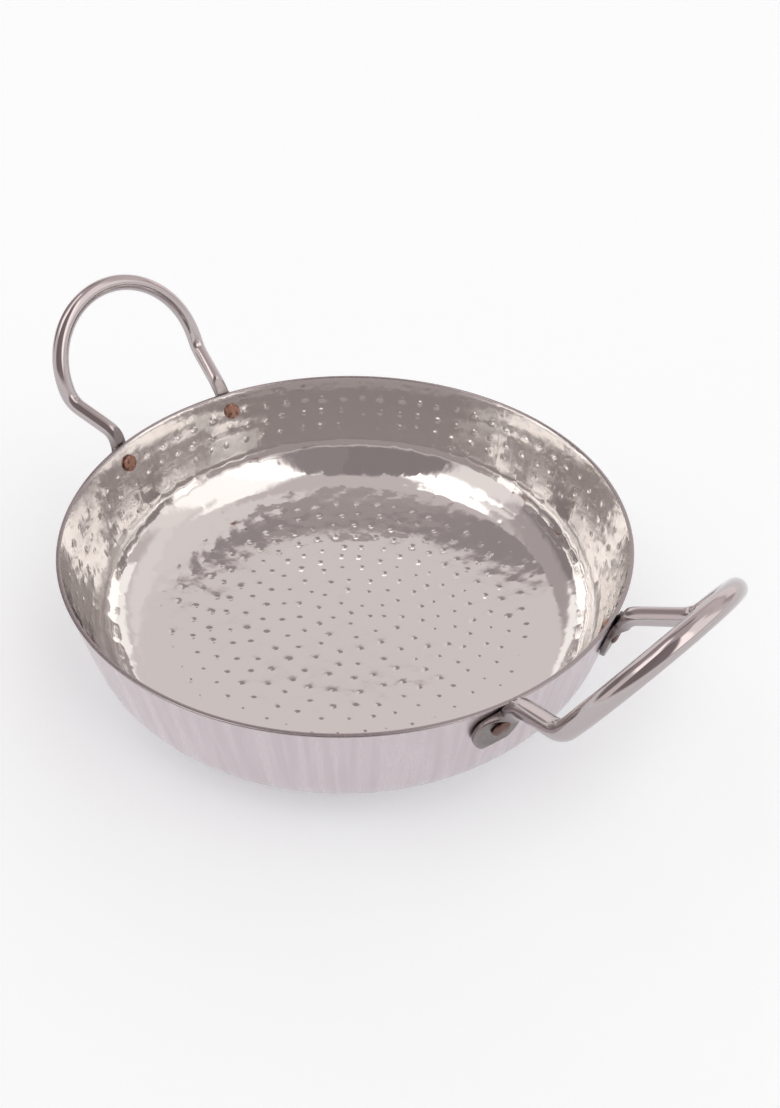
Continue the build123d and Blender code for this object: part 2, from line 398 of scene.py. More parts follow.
# %% [markdown]
# ## Where the hammer fell
# The inside is dented all over with a small ball hammer, in rings. Each ring has as many dents as fit at
# one pitch, and no two are quite alike, so every dent gets its own small shift, size and depth from a
# seeded random source. The corner is hard to reach with a hammer, so the dents are shallow there.

# %% Lay out the dents
ring_pitch = 8.5 * mm
dent_pitch = 10.8 * mm
dent_radius = 2.25 * mm
dent_depth = 0.18 * mm
dent_shift = 1.3 * mm
rim_margin = 5 * mm
corner_depth_share = 0.35
corner_start_share = 0.75
size_shares = (0.8, 1.1)
depth_shares = (0.55, 1.2)
hammer = Random(11)


def depth_share(walked):
    """How deep the dents are at this distance from the middle, as a share of a full dent."""
    flat, dish, corner, _ = side_lengths(wall_thickness)
    start, end = flat + dish * corner_start_share, flat + dish + corner
    if start < walked < end:
        return corner_depth_share
    return 1.0


dents = []
ring_count = int((inside_length - rim_margin) / ring_pitch)
for ring in range(ring_count + 1):
    ring_walk = ring * ring_pitch
    ring_radius = side_point(ring_walk, wall_thickness)[0]
    count = max(1, round(2 * pi * ring_radius / dent_pitch))
    first = hammer.random() * 2 * pi
    for number in range(count):
        walked = ring_walk + hammer.uniform(-1, 1) * dent_shift if ring else 0.0
        around = first + 2 * pi * number / count
        if ring:
            around += hammer.uniform(-1, 1) * dent_shift / ring_radius
        size = dent_radius * hammer.uniform(*size_shares)
        depth = dent_depth * hammer.uniform(*depth_shares) * depth_share(walked)
        dents.append((abs(walked), around, size, depth))
print(len(dents), "dents in", ring_count + 1, "rings")

# %% [markdown]
# ## What the hammer does to the sheet
# A hammered mirror is never flat between its marks, and the eye sees it in the wobbling edges of every
# reflection. Three things are added to the side line. Low waves run everywhere, lower on the floor and the
# wall than in the corner. On the wall a faint ridge stands between two rings of marks. And the many
# blows have sunk the floor's middle a little and raised the edge of its flat.

# %% Waves, ridges and the sunken floor
wave_height = 0.1 * mm
wave_length = 7 * mm
floor_wave_share = 0.4
wall_wave_share = 0.45
floor_end_shares = (0.8, 1.1)
ridge_height = 0.03 * mm
sunk_middle = 0.3 * mm
raised_edge = 0.37 * mm
edge_run = 45 * mm


def ramp(value, low, high):
    """0 below low, 1 above high, and straight in between."""
    return min(1.0, max(0.0, (value - low) / (high - low)))


def wave(walked, place):
    """How far the waves, and the ridges on the wall, move the sheet here."""
    flat, dish, corner, _ = side_lengths(wall_thickness)
    wall_foot = flat + dish + corner
    floor_end = [flat * share for share in floor_end_shares]
    share = floor_wave_share + (1 - floor_wave_share) * ramp(walked, *floor_end)
    on_wall = ramp(walked, wall_foot, wall_foot + ring_pitch)
    share -= (1 - wall_wave_share) * on_wall
    ridge = ridge_height * on_wall * cos(2 * pi * walked / ring_pitch)
    return noise.noise(place / wave_length) * wave_height * share + ridge


def dishing(walked):
    """How far the blows raised the floor here. It is less than zero where the floor sank."""
    if walked <= flat_radius:
        return (sunk_middle + raised_edge) * (walked / flat_radius) ** 2 - sunk_middle
    past = ramp(walked, flat_radius, flat_radius + edge_run)
    steepness = 2 + 2 * (sunk_middle + raised_edge) / flat_radius * edge_run / raised_edge
    return raised_edge * (1 - past) ** 2 * (1 + steepness * past)


print("floor raised by", round(dishing(0) / mm, 2), "mm in the middle,",
      round(dishing(flat_radius) / mm, 2), "mm at the edge of its flat")

# %% [markdown]
# With that, a point of the unrolled sheet can be put in its place in the bowl. It goes to its radius and
# height on the side line, and then in or out by all that the hammer did there. The waves fade out near
# the rim, so that the edge stays even.


# %% Roll up one point
def rolled_up(walked, around, dent_in=0.0):
    """Place on the inside of the bowl, pushed out by dent_in into the wall."""
    radius, height, slope = side_point(walked, wall_thickness)
    flat_place = Vector((radius * cos(around), radius * sin(around), height))
    inward = Vector((-sin(slope) * cos(around), -sin(slope) * sin(around), cos(slope)))
    fade = min(1.0, (inside_length - walked) / dent_pitch)
    return flat_place + inward * (dishing(walked) - dent_in - wave(walked, flat_place) * fade)


print("the middle of the floor is at", [round(value / mm, 2) for value in rolled_up(0, 0)], "mm")

# %% [markdown]
# ## The hammered inside
# A dent is under five millimetres wide, and there are hundreds. Subdividing the whole bowl finely enough
# would take millions of faces, so this piece isn't made from a primitive. We spread points over the
# unrolled sheet, close together on each dent and further apart between them, join them into triangles,
# and then roll the sheet up along the side line. The outline of every dent comes first: its edges are
# fixed, so that no triangle may cross them.

# %% Draw the outline of each dent on the sheet
dent_sides = 12


def dent_point(dent, share, number):
    """Distance walked and turn of one point on a ring round a dent's middle."""
    walked, around, size, _ = dent
    turn = 2 * pi * number / dent_sides
    radius = max(side_point(walked, wall_thickness)[0], dent_pitch / 2)
    if walked < dent_pitch / 2:
        spot = Vector((walked + size * share * cos(turn), size * share * sin(turn)))
        return spot.length, around + atan2(spot.y, spot.x)
    return walked + size * share * cos(turn), around + size * share * sin(turn) / radius


sheet = []
dent_of_point = []
fixed_edges = []
for number, dent in enumerate(dents):
    start = len(sheet)
    for side in range(dent_sides):
        sheet.append(dent_point(dent, 1.0, side))
        dent_of_point.append(number)
        fixed_edges.append((start + side, start + (side + 1) % dent_sides))
print(len(dents), "outlines have", len(sheet), "points")

# %% [markdown]
# Between the dents a plain grid of points is enough. It is laid in rings, each turned by half a step
# against the last, so that the triangles come out even. Points that would fall on a dent are left out. To
# find the dents near a point quickly, they are first sorted by ring.

# %% Fill the sheet between the dents
sheet_pitch = 2.2 * mm
clearance_share = 0.55
rim_sides = 360
dents_near = {}
for number, dent in enumerate(dents):
    dents_near.setdefault(round(dent[0] / ring_pitch), []).append(number)


def clear_of_dents(walked, around):
    """True if a point of the plain sheet is far enough from every dent."""
    ring = round(walked / ring_pitch)
    radius = side_point(walked, wall_thickness)[0]
    for near in (ring - 1, ring, ring + 1):
        for number in dents_near.get(near, ()):
            along, turn, size, _ = dents[number]
            turn_between = (around - turn + pi) % (2 * pi) - pi
            if hypot(walked - along, turn_between * radius) < size + sheet_pitch * clearance_share:
                return False
    return True


row_count = int(inside_length / sheet_pitch)
for row in range(1, row_count):
    walked = inside_length * row / row_count
    radius = side_point(walked, wall_thickness)[0]
    row_points = max(6, round(2 * pi * radius / sheet_pitch))
    for number in range(row_points):
        around = 2 * pi * (number + 0.5 * (row % 2)) / row_points
        if clear_of_dents(walked, around):
            sheet.append((walked, around))
            dent_of_point.append(None)
for number in range(rim_sides):
    sheet.append((inside_length, 2 * pi * number / rim_sides))
    dent_of_point.append(None)
print("the sheet has", len(sheet), "points")

# %% [markdown]
# Now the points are joined. Delaunay triangles are the ones that are closest to even-sided, so they smooth
# well. The triangles that lie wholly inside one dent are dropped again, as dents get finer faces.

# %% Join the points and roll up the sheet
join_tolerance = 1e-7
unrolled = [Vector((walked * cos(around), walked * sin(around))) for walked, around in sheet]
joined = delaunay_2d_cdt(unrolled, fixed_edges, [], 0, join_tolerance)

places = []
faces = []
source = [group[0] for group in joined[3]]
for index in source:
    places.append(rolled_up(*sheet[index]))
for face in joined[2]:
    owners = {dent_of_point[source[corner]] for corner in face}
    if len(owners) > 1 or None in owners:
        faces.append(tuple(face))
place_of_point = {index: place for place, index in enumerate(source)}
print("rolled up:", len(places), "points and", len(faces), "triangles")

# %% [markdown]
# Each dent is filled with three rings of points and one in the middle. The round face of the hammer leaves
# a hollow whose edge is soft, because the sheet gives way round the blow. The curve (1 - s * s) squared
# has that shape: it is level in the middle and runs out level at the edge.

# %% Press the dents
dent_ring_shares = (0.75, 0.5, 0.25)
for number, dent in enumerate(dents):
    ring = [place_of_point[number * dent_sides + side] for side in range(dent_sides)]
    for share in dent_ring_shares:
        inner = []
        for side in range(dent_sides):
            walked, around = dent_point(dent, share, side)
            places.append(rolled_up(walked, around, dent[3] * (1 - share ** 2) ** 2))
            inner.append(len(places) - 1)
        for side in range(dent_sides):
            after = (side + 1) % dent_sides
            faces.append((ring[side], ring[after], inner[after], inner[side]))
        ring = inner
    places.append(rolled_up(dent[0], dent[1], dent[3]))
    for side in range(dent_sides):
        faces.append((ring[side], ring[(side + 1) % dent_sides], len(places) - 1))
print("with dents:", len(places), "points and", len(faces), "faces")

# %% [markdown]
# Until now the inside was only two lists. From them we make a mesh, and the mesh gets the polished steel.

# %% Make the inside
inside_mesh = bpy.data.meshes.new("bowl_inside")
inside_mesh.from_pydata(places, [], faces)
inside_mesh.materials.append(polished_steel)
inside = bpy.data.objects.new("bowl_inside", inside_mesh)
bpy.context.scene.collection.objects.link(inside)
print("inside:", len(inside_mesh.vertices), "points and", len(inside_mesh.polygons), "faces")

# %% [markdown]
# ## The outside and the rim
# The outside is plain, so it is made as a spinner makes it: we draw half of its side line as a row of
# edges and spin that round the bowl's axis. The row starts at the inside of the rim, goes over the
# rounded cut edge, down the wall and in to the middle of the base.

# %% Draw half of its side line
rim_steps = 4
outside_steps = 46
inner_top = side_point(inside_length, wall_thickness)
outer_top_radius = rim_radius - rim_rounding * (tan(wall_lean) + 1 / cos(wall_lean))
inner_top_radius = inner_top[0] + rim_rounding / cos(wall_lean)
row = []
for step in range(1, rim_steps + 1):
    turn = pi - (pi / 2) * step / rim_steps
    row.append((inner_top_radius + rim_rounding * cos(turn), bowl_height - rim_rounding * (1 - sin(turn))))
for step in range(rim_steps + 1):
    turn = pi / 2 - (pi / 2) * step / rim_steps
    row.append((outer_top_radius + rim_rounding * cos(turn), bowl_height - rim_rounding * (1 - sin(turn))))
outside_length = sum(side_lengths(0)) - rim_rounding * 2
for step in range(outside_steps):
    walked = outside_length * (1 - step / outside_steps)
    row.append(side_point(walked)[:2])
print("half of the side line has", len(row), "points")

# %% [markdown]
# The spin has as many steps as the inside has points along the rim, so that the two halves will meet point
# to point. A full turn ends where it started, so the points that lie on each other there are merged.

# %% Spin the outside
seam_distance = 0.01 * mm
outside_mesh = bpy.data.meshes.new("bowl_outside")
outline = [(inner_top[0], 0, inner_top[1])] + [(radius, 0, height) for radius, height in row] + [(0, 0, 0)]
outside_mesh.from_pydata(outline, [(i, i + 1) for i in range(len(outline) - 1)], [])
outside_mesh.materials.append(brushed_steel)
outside = bpy.data.objects.new("bowl_outside", outside_mesh)
bpy.context.scene.collection.objects.link(outside)
pick_only(outside)
bpy.ops.object.mode_set(mode="EDIT")
bpy.ops.mesh.select_all(action="SELECT")
bpy.ops.mesh.spin(steps=rim_sides, angle=2 * pi, center=(0, 0, 0), axis=(0, 0, 1))
bpy.ops.mesh.select_all(action="SELECT")
bpy.ops.mesh.remove_doubles(threshold=seam_distance)
bpy.ops.object.mode_set(mode="OBJECT")
print("outside:", len(outside.data.polygons), "faces")

# %% [markdown]
# ## Close a piece
# A finished piece has no open edge, and all its faces point outwards. One helper merges the points that
# lie on each other and turns the faces. The other counts the points on an open edge, which should be none.


# %% Helpers for closed pieces
fine_distance = 0.001 * mm


def point_outwards(piece, merge_distance=fine_distance):
    """Merges doubles and turns every face outwards."""
    pick_only(piece)
    bpy.ops.object.mode_set(mode="EDIT")
    bpy.ops.mesh.select_all(action="SELECT")
    bpy.ops.mesh.remove_doubles(threshold=merge_distance)
    bpy.ops.mesh.normals_make_consistent(inside=False)
    bpy.ops.object.mode_set(mode="OBJECT")


def count_open_points(piece):
    """How many points lie on an open edge. A closed piece has none."""
    pick_only(piece)
    bpy.ops.object.mode_set(mode="EDIT")
    bpy.ops.mesh.select_mode(type="VERT")
    bpy.ops.mesh.select_all(action="DESELECT")
    bpy.ops.mesh.select_non_manifold()
    count = sum(point.select for point in bmesh.from_edit_mesh(piece.data).verts)
    bpy.ops.object.mode_set(mode="OBJECT")
    return count


# %% [markdown]
# Now the two halves become one closed bowl: we join them, and merge the points that they share along the
# rim. The narrow faces on top of the rim take the steel of the cut edge, which is the bowl's third metal.

# %% Join inside and outside
pick_only(inside)
outside.select_set(True)
bpy.ops.object.join()
bowl = inside
bowl.name = "hammered_bowl"
point_outwards(bowl, seam_distance)
print("bowl:", len(bowl.data.vertices), "points,", count_open_points(bowl), "of them on an open edge")
bpy.ops.object.shade_smooth()
edge_depth = rim_rounding * 1.2
bowl.data.materials.append(cut_edge)
for face in bowl.data.polygons:
    if face.center.z > bowl_height - edge_depth:
        face.material_index = bowl.data.materials.find(cut_edge.name)
hand_over(bowl, "bowl")

# %% [markdown]
# ## How a handle is laid out
# Each handle is one steel rod. It starts flat on the wall at an ear, bends outwards over the rim, runs
# out as a neck, turns up at an elbow and goes round in a loop to the other ear. The measures are those
# of the solid. We describe one handle that reaches out along X, and turn it to its place at the end. Only
# the places of its rounded corners are needed, because straight runs join them.

# %% Measures of a handle
rivet_drop = 10 * mm
ear_azimuth = radians(16)
ear_splay = radians(12)
ear_gap = 0.05 * mm
rod_radius = 3.8 * mm
rod_flat_depth = 0.7 * mm
rod_straight = 0.4 * mm
bend_rise = 4.5 * mm
bend_run = 5.3 * mm
neck_reach = 28 * mm
elbow_azimuth = radians(14.9)
elbow_rise = 14.7 * mm
elbow_run = 5 * mm
loop_length = 45.5 * mm
loop_tilts = {"left_handle": radians(72), "right_handle": radians(65.5)}
handle_azimuths = {"left_handle": radians(182.8), "right_handle": radians(-2.8)}

rivet_radius = rim_radius - rivet_drop * tan(wall_lean)
bend_height = (rivet_drop + bend_rise) / cos(wall_lean)
ear_top = bend_height - bend_run - rod_straight
rod_depth = ear_gap + rod_radius - rod_flat_depth
print("the rod starts", round(ear_top / mm, 1), "mm above the rivet")

# %% [markdown]
# The ear lies on a wall that leans and curves. It is easier to describe in a frame of its own, whose
# origin is where the rivet meets the wall. A matrix holds that frame: multiplied by it, a place in the
# ear's frame becomes a place in the bowl's. The rivets will use the same frame.


# %% Find the frame of an ear and the corners of the rod
def wall_frame(azimuth):
    """Frame on the wall at a rivet: X runs round the bowl, Y up the wall and Z out of it."""
    around = Vector((-sin(azimuth), cos(azimuth), 0))
    outward = Vector((cos(wall_lean) * cos(azimuth), cos(wall_lean) * sin(azimuth), -sin(wall_lean)))
    frame = Matrix((around, outward.cross(around), outward)).transposed().to_4x4()
    frame.translation = (rivet_radius * cos(azimuth), rivet_radius * sin(azimuth), bowl_height - rivet_drop)
    return frame


ear_frame = wall_frame(ear_azimuth) @ Matrix.Rotation(ear_splay, 4, "Z")
bend_corner = ear_frame @ Vector((0, bend_height, rod_depth))
elbow_reach = rim_radius + neck_reach
elbow_corner = Vector((elbow_reach * cos(elbow_azimuth), elbow_reach * sin(elbow_azimuth),
                       bowl_height + elbow_rise))
print("elbow at", [round(value / mm, 1) for value in elbow_corner], "mm")

# %% [markdown]
# ## Cross sections of the ear
# The smith hammers the end of the rod flat. So the section changes from a circle to a wide flat oblong
# with softly rounded edges. Both are rings of sixteen points, so the shapes between them are simple mixes.
# Subdivision Surface pulls a ring of points inwards, so the first ring is drawn larger by the same share.

# %% Describe a cross section
ring_sides = 16
quarter_sides = ring_sides // 4
ear_edge_radius = 0.6 * mm
corner_pull_share = 0.3
most_edge_share = 0.8
cage_swell = 3 / (2 + cos(2 * pi / ring_sides))


def section(half_width, thickness, squareness):
    """Sixteen points, across and out, of a shape between an oval and a flat oblong."""
    half = thickness / 2
    edge = min(ear_edge_radius, half * most_edge_share)
    pull = edge * corner_pull_share
    quarter = ((half_width, 0), (half_width, half - edge), (half_width - pull, half - pull),
               (half_width - edge, half), (0, half))
    points = []
    for side in range(ring_sides):
        turn = 2 * pi * side / ring_sides
        step = side % (2 * quarter_sides)
        across, out = quarter[min(step, 2 * quarter_sides - step)]
        if quarter_sides < side < 3 * quarter_sides:
            across = -across
        if side > 2 * quarter_sides:
            out = -out
        oval = Vector((half_width * cos(turn), half * sin(turn)))
        points.append(oval.lerp(Vector((across, out)), squareness))
    return points


print("a section of the rod has", len(section(rod_radius, 2 * rod_radius, 0)), "points")

# %% [markdown]
# ## The rows of the ear
# From the round rod downwards, three rows spread and thin the metal, and the rest follow the outline of
# the disc: a circle with a slanting cut at the low end, whose corners are rounded. Only the rivet presses
# the ear down, so towards the cut, where its end is free, it lifts a little off the wall.

# %% Measures of the disc
ear_radius = 10 * mm
ear_thickness = 2.4 * mm
ear_flat_height = 4.6 * mm
disc_drop = 1.6 * mm
disc_shift = 0.8 * mm
cut_distance = 8.4 * mm
cut_turn = radians(-14)
cut_corner_radius = 2.5 * mm
end_lift = 1.2 * mm
shoulder_shares = ((0.68, 0.12, 0.40, 0.2), (0.34, 0.38, 0.80, 0.65), (0.0, 0.68, 1.0, 0.95))
disc_fall_shares = (-0.44, -0.16, 0.16, 0.44, 0.66)
corner_thickness_share = 0.88
cut_thickness_share = 0.55

lift_run = disc_drop + ear_radius - ear_flat_height
lift_radius = (lift_run ** 2 + end_lift ** 2) / (2 * end_lift)
print("the ear lifts off along an arc with a radius of", round(lift_radius / mm), "mm")

# %% [markdown]
# Each row is one cross section, put in its place in the frame of the ear. Its points stand off the wall by
# the gap, and further towards the cut by the lift there.


# %% Place one row
def lift(height):
    """How far the ear stands off the wall at this height."""
    below = max(0.0, -ear_flat_height - height)
    return lift_radius - sqrt(lift_radius ** 2 - below ** 2)


def ear_ring(centre, turn, half_width, thickness, squareness, sink=0.0):
    """Sixteen places of one row, in the frame of the ear."""
    places = []
    for across, out in section(half_width, thickness, squareness):
        x = centre[0] + across * cos(turn)
        y = centre[1] + across * sin(turn)
        places.append(Vector((x, y, ear_gap + thickness / 2 - sink + out + lift(y))))
    return places


# %% [markdown]
# A row of the disc is as wide as its circle is there. Two more rows round the corners of the cut, and the
# rows turn little by little until the last one lies along the slanting cut.


# %% List the rows of the ear from the rod to the cut
def ear_rings():
    """All rows of an ear, from the end of the round rod down to the cut."""
    swollen = rod_radius * cage_swell
    rings = [ear_ring((0, ear_top), 0, swollen, 2 * swollen, 0, rod_flat_depth + swollen - rod_radius)]
    climb = ear_top - ear_flat_height
    for climb_share, widening, thinning, squareness in shoulder_shares:
        half_width = rod_radius + (ear_radius - rod_radius) * widening
        thickness = 2 * rod_radius + (ear_thickness - 2 * rod_radius) * thinning
        centre = (disc_shift * widening, ear_flat_height + climb * climb_share)
        sink = rod_flat_depth * (1 - thinning)
        rings.append(ear_ring(centre, 0, half_width, thickness, squareness, sink))
    inner = cut_distance - cut_corner_radius
    chord = sqrt((ear_radius - cut_corner_radius) ** 2 - inner ** 2)
    corner_turn = atan2(chord, inner)
    rows = [(share * ear_radius, ear_radius * sqrt(1 - share ** 2), 1.0) for share in disc_fall_shares]
    rows.append((ear_radius * cos(corner_turn), ear_radius * sin(corner_turn), 1.0))
    rows.append((inner + cut_corner_radius * cos(corner_turn / 2),
                 chord + cut_corner_radius * sin(corner_turn / 2), corner_thickness_share))
    rows.append((cut_distance, chord, cut_thickness_share))
    first_share = disc_fall_shares[0]
    for fall, half_width, thickness_share in rows:
        turn = cut_turn * (fall / ear_radius - first_share) / (cut_distance / ear_radius - first_share)
        centre = (disc_shift + fall * sin(turn), -disc_drop - fall * cos(turn))
        rings.append(ear_ring(centre, turn, half_width, ear_thickness * thickness_share, 1.0))
    return rings


print("an ear has", len(ear_rings()), "rows")

# %% [markdown]
# ## Forge the ear
# The ear starts as a plain ring. We extrude the ring again and again, and after each step we move its
# sixteen points to the next row. Every point carries the number of its side, so it always finds its
# place in the new row. The last row is closed with a face.


# %% Helpers for the ear
def pick_open_ring():
    """Picks the points round the one open end of the piece that is being edited."""
    bpy.ops.mesh.select_all(action="DESELECT")
    bpy.ops.mesh.select_non_manifold()


def move_ring(piece, places):
    """Moves the picked ring to sixteen new places."""
    mesh = bmesh.from_edit_mesh(piece.data)
    side_of = mesh.verts.layers.int["side"]
    for point in mesh.verts:
        if point.select:
            point.co = places[point[side_of]]
    bmesh.update_edit_mesh(piece.data)


def forge_ear(name):
    """An ear with an open round end at the top, in its own frame."""
    bpy.ops.object.select_all(action="DESELECT")
    bpy.ops.mesh.primitive_circle_add(vertices=ring_sides, radius=rod_radius, fill_type="NOTHING")
    ear = bpy.context.object
    ear.name = name
    numbers = ear.data.attributes.new("side", "INT", "POINT")
    for side in range(ring_sides):
        numbers.data[side].value = side
    bpy.ops.object.mode_set(mode="EDIT")
    bpy.ops.mesh.select_mode(type="VERT")
    bpy.ops.mesh.select_all(action="SELECT")
    rings = ear_rings()
    move_ring(ear, rings[0])
    for places in rings[1:]:
        bpy.ops.mesh.extrude_region_move(TRANSFORM_OT_translate={"value": (0, 0, 0)})
        move_ring(ear, places)
    bpy.ops.mesh.edge_face_add()
    bpy.ops.object.mode_set(mode="OBJECT")
    return ear


# %% [markdown]
# ## Bend the rod
# A rod is drawn on from the ear by extruding its open ring where it is straight, and by spinning the
# ring round an axis where it bends. Half a handle is enough: the loop ends at its crown, on the plane
# Y = 0, and a mirror makes the other half.


# %% Helpers for bending
def straight(before, corner, length):
    """Extrudes the picked ring straight on, from one point towards another."""
    move = (corner - before).normalized() * length
    bpy.ops.mesh.extrude_region_move(TRANSFORM_OT_translate={"value": move})


def bend(before, corner, after, run, steps):
    """Spins the picked ring round a rounded corner."""
    back = (before - corner).normalized()
    ahead = (after - corner).normalized()
    half_angle = back.angle(ahead) / 2
    centre = corner + (back + ahead).normalized() * run / cos(half_angle)
    axis = back.cross(ahead).normalized()
    bpy.ops.mesh.spin(steps=steps, angle=pi - 2 * half_angle, center=centre, axis=axis)


# %% [markdown]
# The loop is an arc up to the crown, and it has to run on from the bend at the elbow without a kink. That
# fixes its radius, and the place where the bend ends and the arc starts. The last ring is pressed flat
# onto the plane Y = 0, so that the mirror closes it.

# %% Bend half a handle
bend_steps = 4
loop_steps = 15


def half_handle(name, tilt):
    """Half a handle as a coarse cage, from the cut of one ear to the crown of the loop."""
    handle = forge_ear(name)
    handle.data.transform(ear_frame)
    foot = Vector((elbow_corner.x, 0, elbow_corner.z))
    upward = Vector((cos(tilt), 0, sin(tilt)))
    radius = (elbow_corner.y ** 2 + loop_length ** 2 - elbow_run ** 2) / (2 * loop_length)
    centre = foot + upward * (loop_length - radius)
    crown = foot + upward * loop_length
    to_elbow = elbow_corner - centre
    bpy.ops.object.mode_set(mode="EDIT")
    pick_open_ring()
    past_elbow = Matrix.Rotation(atan2(elbow_run, radius), 3, to_elbow.cross(upward))
    start = centre + past_elbow @ to_elbow.normalized() * radius
    rod_end = ear_frame @ Vector((0, ear_top, rod_depth))
    straight(rod_end, bend_corner, rod_straight)
    bend(rod_end, bend_corner, elbow_corner, bend_run, bend_steps)
    straight(bend_corner, elbow_corner, (elbow_corner - bend_corner).length - bend_run - elbow_run)
    bend(bend_corner, elbow_corner, start, elbow_run, bend_steps)
    arc = (start - centre).angle(crown - centre)
    axis = (crown - centre).cross(start - centre).normalized()
    bpy.ops.mesh.spin(steps=loop_steps, angle=arc, center=centre, axis=axis)
    bpy.ops.transform.resize(value=(1, 0, 1), center_override=(0, 0, 0))
    bpy.ops.object.mode_set(mode="OBJECT")
    return handle


# %% [markdown]
# ## Finish a handle
# Mirror and Subdivision Surface turn the cage into a smooth rod. Each modifier is applied at once, because
# the next step works on the faces that it has made.


# %% Helper for modifiers
def use_modifier(piece, kind, **settings):
    """Adds a modifier with these settings and applies it."""
    pick_only(piece)
    modifier = piece.modifiers.new(kind.lower(), kind)
    for name, value in settings.items():
        setattr(modifier, name, value)
    bpy.ops.object.modifier_apply(modifier=modifier.name)


# %% [markdown]
# Then we grind two small flats: where the neck passes over the rim, the inner side of the rod is flat, so
# that it clears the wall. A bisect cuts it off, fill holes closes the cut, and a sharp arch is left. The
# bending tool leaves a small nick inside each elbow, which is made by moving the points near it.

# %% Helpers for the flats and the nicks
flat_foot = 5.6 * mm
flat_slope = 0.22
flat_reach = 24 * mm
nick_radius = 2.4 * mm
nick_depth = 0.45 * mm
nick_offset = 1.2 * mm


def grind_flat(handle, side):
    """Cuts the inner side of one leg flat where it passes over the rim."""
    to_side = Matrix.Diagonal((1, side, 1, 1))
    rivet_place = to_side @ ear_frame.translation
    on_flat = to_side @ (ear_frame @ Vector((0, flat_foot, ear_gap)))
    normal = to_side.to_3x3() @ (ear_frame.to_3x3() @ Vector((0, -flat_slope, 1)))
    pick_only(handle)
    bpy.ops.object.mode_set(mode="EDIT")
    bpy.ops.mesh.select_all(action="DESELECT")
    mesh = bmesh.from_edit_mesh(handle.data)
    for face in mesh.faces:
        if (face.calc_center_median() - rivet_place).length < flat_reach:
            face.select_set(True)
    bmesh.update_edit_mesh(handle.data)
    bpy.ops.mesh.bisect(plane_co=on_flat, plane_no=normal, clear_inner=True)
    bpy.ops.mesh.select_all(action="SELECT")
    bpy.ops.mesh.fill_holes(sides=0)
    bpy.ops.object.mode_set(mode="OBJECT")


def nick(handle, place, inward):
    """Presses a small dent into the rod."""
    for point in handle.data.vertices:
        distance = (point.co - place).length
        if distance < nick_radius:
            point.co += inward * nick_depth * (1 - (distance / nick_radius) ** 2) ** 2


# %% [markdown]
# ## Where the steel was forged
# The hammer and the fire left the ears darker and duller than the rod. We write this on the mesh as an
# attribute: it is 1 on the ear and falls to 0 along the neck. The two ground flats are darkened by it too.
# Each flat is the one face with many corners that fill holes has made, so it is easy to tell. Writing on
# the corners of faces, and not on points, keeps the step at the flat's edge sharp.


# %% Mark the forged steel
forged_end = 9 * mm
rod_start = 19 * mm
flat_darkening_share = 0.75
flat_least_corners = 6


def mark_forged(handle):
    """Writes how forged the steel is at every corner of a face."""
    forged = handle.data.attributes.new("forged", "FLOAT", "CORNER")
    rivet_place = ear_frame.translation.copy()
    rivet_place.y = abs(rivet_place.y)
    for face in handle.data.polygons:
        is_flat = len(face.vertices) >= flat_least_corners
        for corner in face.loop_indices:
            point = handle.data.vertices[handle.data.loops[corner].vertex_index].co
            distance = (Vector((point.x, abs(point.y), point.z)) - rivet_place).length
            share = 1 - ramp(distance, forged_end, rod_start)
            forged.data[corner].value = flat_darkening_share if is_flat else share


# %% [markdown]
# ## Make both handles
# The two handles differ only in how far the loop leans, because they were bent by hand. After the last
# step each one is turned about the bowl's axis to its own place.

# %% Bend, finish and hand over both handles
crease_angle = radians(32)
for node, tilt in loop_tilts.items():
    handle = half_handle("bent_" + node, tilt)
    use_modifier(handle, "MIRROR", use_axis=(False, True, False), merge_threshold=seam_distance)
    point_outwards(handle)
    use_modifier(handle, "SUBSURF", levels=2, render_levels=2)
    for side in (1, -1):
        grind_flat(handle, side)
        elbow = Vector((elbow_corner.x, elbow_corner.y * side, elbow_corner.z))
        bend_place = Vector((bend_corner.x, bend_corner.y * side, bend_corner.z))
        to_loop = Vector((cos(tilt), 0, sin(tilt)))
        inner = ((bend_place - elbow).normalized() + to_loop).normalized()
        nick(handle, elbow + inner * (rod_radius + nick_offset), -inner)
    mark_forged(handle)
    handle.data.transform(Matrix.Rotation(handle_azimuths[node], 4, "Z"))
    point_outwards(handle)
    handle.data.materials.append(rod_steel)
    print(handle.name, "has", count_open_points(handle), "points on an open edge")
    bpy.ops.object.shade_smooth_by_angle(angle=crease_angle)
    hand_over(handle, node)

# %% [markdown]
# ## A rivet
# A copper rivet goes through the ear and the wall. Its flat head lies inside the bowl, and the shank's
# other end is hammered into a low dome outside. The inside of the wall is hollow, so the edge of the flat
# head would meet it first. The head is seated a little further in, so that it just clears the wall.

# %% Measures of a rivet
shank_radius = 2.4 * mm
inner_head_radius = 4.2 * mm
inner_head_thickness = 1.5 * mm
outer_head_radius = 4 * mm
outer_head_height = 1.8 * mm
head_gap = 0.05 * mm
inner_wall_radius = rivet_radius - wall_thickness / cos(wall_lean)
wall_curve = inner_head_radius ** 2 / (2 * inner_wall_radius)
inner_seat = -wall_thickness - wall_curve - head_gap
outer_seat = ear_gap + ear_thickness + head_gap
print("the shank is", round((outer_seat - inner_seat) / mm, 2), "mm long")

# %% [markdown]
# A head grows from the shank's end face. The face is picked by its height and extruded again and again,
# and each new face is scaled about the axis to the next radius.


# %% Helpers for the heads
def pick_end(piece, level):
    """Picks the end face that lies at this height."""
    bpy.ops.mesh.select_all(action="DESELECT")
    mesh = bmesh.from_edit_mesh(piece.data)
    for face in mesh.faces:
        face.select = all(abs(point.co.z - level) < fine_distance for point in face.verts)
    bmesh.update_edit_mesh(piece.data)


